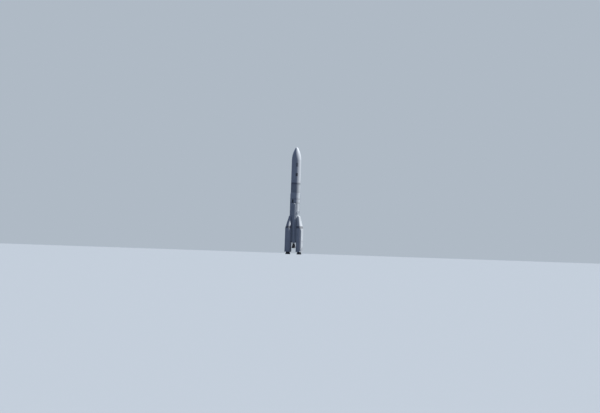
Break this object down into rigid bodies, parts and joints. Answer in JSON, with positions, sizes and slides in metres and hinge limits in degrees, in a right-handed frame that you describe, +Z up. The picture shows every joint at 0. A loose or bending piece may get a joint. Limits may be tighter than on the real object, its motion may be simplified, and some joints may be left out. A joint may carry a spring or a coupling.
{
  "type": "space rocket, 1:2 scale model",
  "caption": "Tall white launcher with a hydrogen core, strap-on solid boosters around its foot, a long two-part payload fairing, and engine nozzles that swivel.",
  "frame": {"origin": "centre of the launch table's top, in the plane of the booster skirts' undersides; the nozzles hang below it", "axes": "+Z up along the core's axis to the fairing's tip; the fairing splits in the plane X = 0; the boosters stand on the diagonals; the front faces -Y"},
  "size_m": [5.0352, 5.0352, 30.9996],
  "materials": {
    "fairing_white": "matt white paint over a carbon sandwich skin",
    "painted_white": "matt white paint on ribbed and plain metal skins",
    "foam_white": "white paint over fine insulating foam",
    "band_grey": "matt dark grey paint",
    "bare_metal": "machined, dull",
    "bell_metal": "heat-browned nickel alloy",
    "carbon": "black carbon composite",
    "blanket": "quilted heat-proof cloth"
  },
  "bodies": {
    "root": {"lower_tank": "foam_white", "intertank": "painted_white", "upper_tank": "foam_white", "forward_skirt": "painted_white", "interstage": "painted_white", "upper_stage_tank": "foam_white", "fairing_ring": "band_grey", "aft_bay": "painted_white", "base_heat_shield": "blanket", "feed_line_cover_front": "painted_white", "feed_line_cover_back": "painted_white", "cable_duct_right": "painted_white", "cable_duct_left": "painted_white", "umbilical_plate_lower": "band_grey", "umbilical_plate_upper": "band_grey", "payload_adapter": "carbon", "booster_1_nose": "painted_white", "booster_1_nose_ring": "band_grey", "booster_1_motor_case": "painted_white", "booster_1_aft_skirt": "painted_white", "booster_1_cable_duct": "painted_white", "booster_1_forward_attachment": "bare_metal", "booster_1_aft_attachment": "bare_metal", "booster_2_nose": "painted_white", "booster_2_nose_ring": "band_grey", "booster_2_motor_case": "painted_white", "booster_2_aft_skirt": "painted_white", "booster_2_cable_duct": "painted_white", "booster_2_forward_attachment": "bare_metal", "booster_2_aft_attachment": "bare_metal", "booster_3_nose": "painted_white", "booster_3_nose_ring": "band_grey", "booster_3_motor_case": "painted_white", "booster_3_aft_skirt": "painted_white", "booster_3_cable_duct": "painted_white", "booster_3_forward_attachment": "bare_metal", "booster_3_aft_attachment": "bare_metal", "booster_4_nose": "painted_white", "booster_4_nose_ring": "band_grey", "booster_4_motor_case": "painted_white", "booster_4_aft_skirt": "painted_white", "booster_4_cable_duct": "painted_white", "booster_4_forward_attachment": "bare_metal", "booster_4_aft_attachment": "bare_metal"},
    "fairing_right": {"fairing_half_right": "fairing_white"},
    "fairing_left": {"fairing_half_left": "fairing_white"},
    "engine_cross": {"engine_gimbal_cross": "bare_metal"},
    "core_engine": {"engine_chamber": "bare_metal", "engine_nozzle": "bell_metal"},
    "booster_1_ring": {"booster_1_gimbal_ring": "bare_metal"},
    "booster_1_bell": {"booster_1_nozzle": "carbon"},
    "booster_2_ring": {"booster_2_gimbal_ring": "bare_metal"},
    "booster_2_bell": {"booster_2_nozzle": "carbon"},
    "booster_3_ring": {"booster_3_gimbal_ring": "bare_metal"},
    "booster_3_bell": {"booster_3_nozzle": "carbon"},
    "booster_4_ring": {"booster_4_gimbal_ring": "bare_metal"},
    "booster_4_bell": {"booster_4_nozzle": "carbon"}
  },
  "joints": [
    {"name": "fairing_right_release", "type": "slide", "parent": "root", "child": "fairing_right", "axis": [1, 0, 0], "range_m": [0, 1.5]},
    {"name": "fairing_left_release", "type": "slide", "parent": "root", "child": "fairing_left", "axis": [-1, 0, 0], "range_m": [0, 1.5]},
    {"name": "core_engine_pitch", "type": "hinge", "parent": "root", "child": "engine_cross", "pos_m": [0, 0, 3.05], "axis": [1, 0, 0], "range_deg": [-6, 6]},
    {"name": "core_engine_yaw", "type": "hinge", "parent": "engine_cross", "child": "core_engine", "pos_m": [0, 0, 3.05], "axis": [0, 1, 0], "range_deg": [-6, 6]},
    {"name": "booster_1_nozzle_outward", "type": "hinge", "parent": "root", "child": "booster_1_ring", "pos_m": [-1.62635, -1.62635, 0.65], "axis": [-0.7071, -0.7071, 0], "range_deg": [-6, 6]},
    {"name": "booster_1_nozzle_sideways", "type": "hinge", "parent": "booster_1_ring", "child": "booster_1_bell", "pos_m": [-1.62635, -1.62635, 0.65], "axis": [0.7071, -0.7071, 0], "range_deg": [-6, 6]},
    {"name": "booster_2_nozzle_outward", "type": "hinge", "parent": "root", "child": "booster_2_ring", "pos_m": [1.62635, -1.62635, 0.65], "axis": [0.7071, -0.7071, 0], "range_deg": [-6, 6]},
    {"name": "booster_2_nozzle_sideways", "type": "hinge", "parent": "booster_2_ring", "child": "booster_2_bell", "pos_m": [1.62635, -1.62635, 0.65], "axis": [0.7071, 0.7071, 0], "range_deg": [-6, 6]},
    {"name": "booster_3_nozzle_outward", "type": "hinge", "parent": "root", "child": "booster_3_ring", "pos_m": [1.62635, 1.62635, 0.65], "axis": [0.7071, 0.7071, 0], "range_deg": [-6, 6]},
    {"name": "booster_3_nozzle_sideways", "type": "hinge", "parent": "booster_3_ring", "child": "booster_3_bell", "pos_m": [1.62635, 1.62635, 0.65], "axis": [-0.7071, 0.7071, 0], "range_deg": [-6, 6]},
    {"name": "booster_4_nozzle_outward", "type": "hinge", "parent": "root", "child": "booster_4_ring", "pos_m": [-1.62635, 1.62635, 0.65], "axis": [-0.7071, 0.7071, 0], "range_deg": [-6, 6]},
    {"name": "booster_4_nozzle_sideways", "type": "hinge", "parent": "booster_4_ring", "child": "booster_4_bell", "pos_m": [-1.62635, 1.62635, 0.65], "axis": [-0.7071, -0.7071, 0], "range_deg": [-6, 6]}
  ]
}
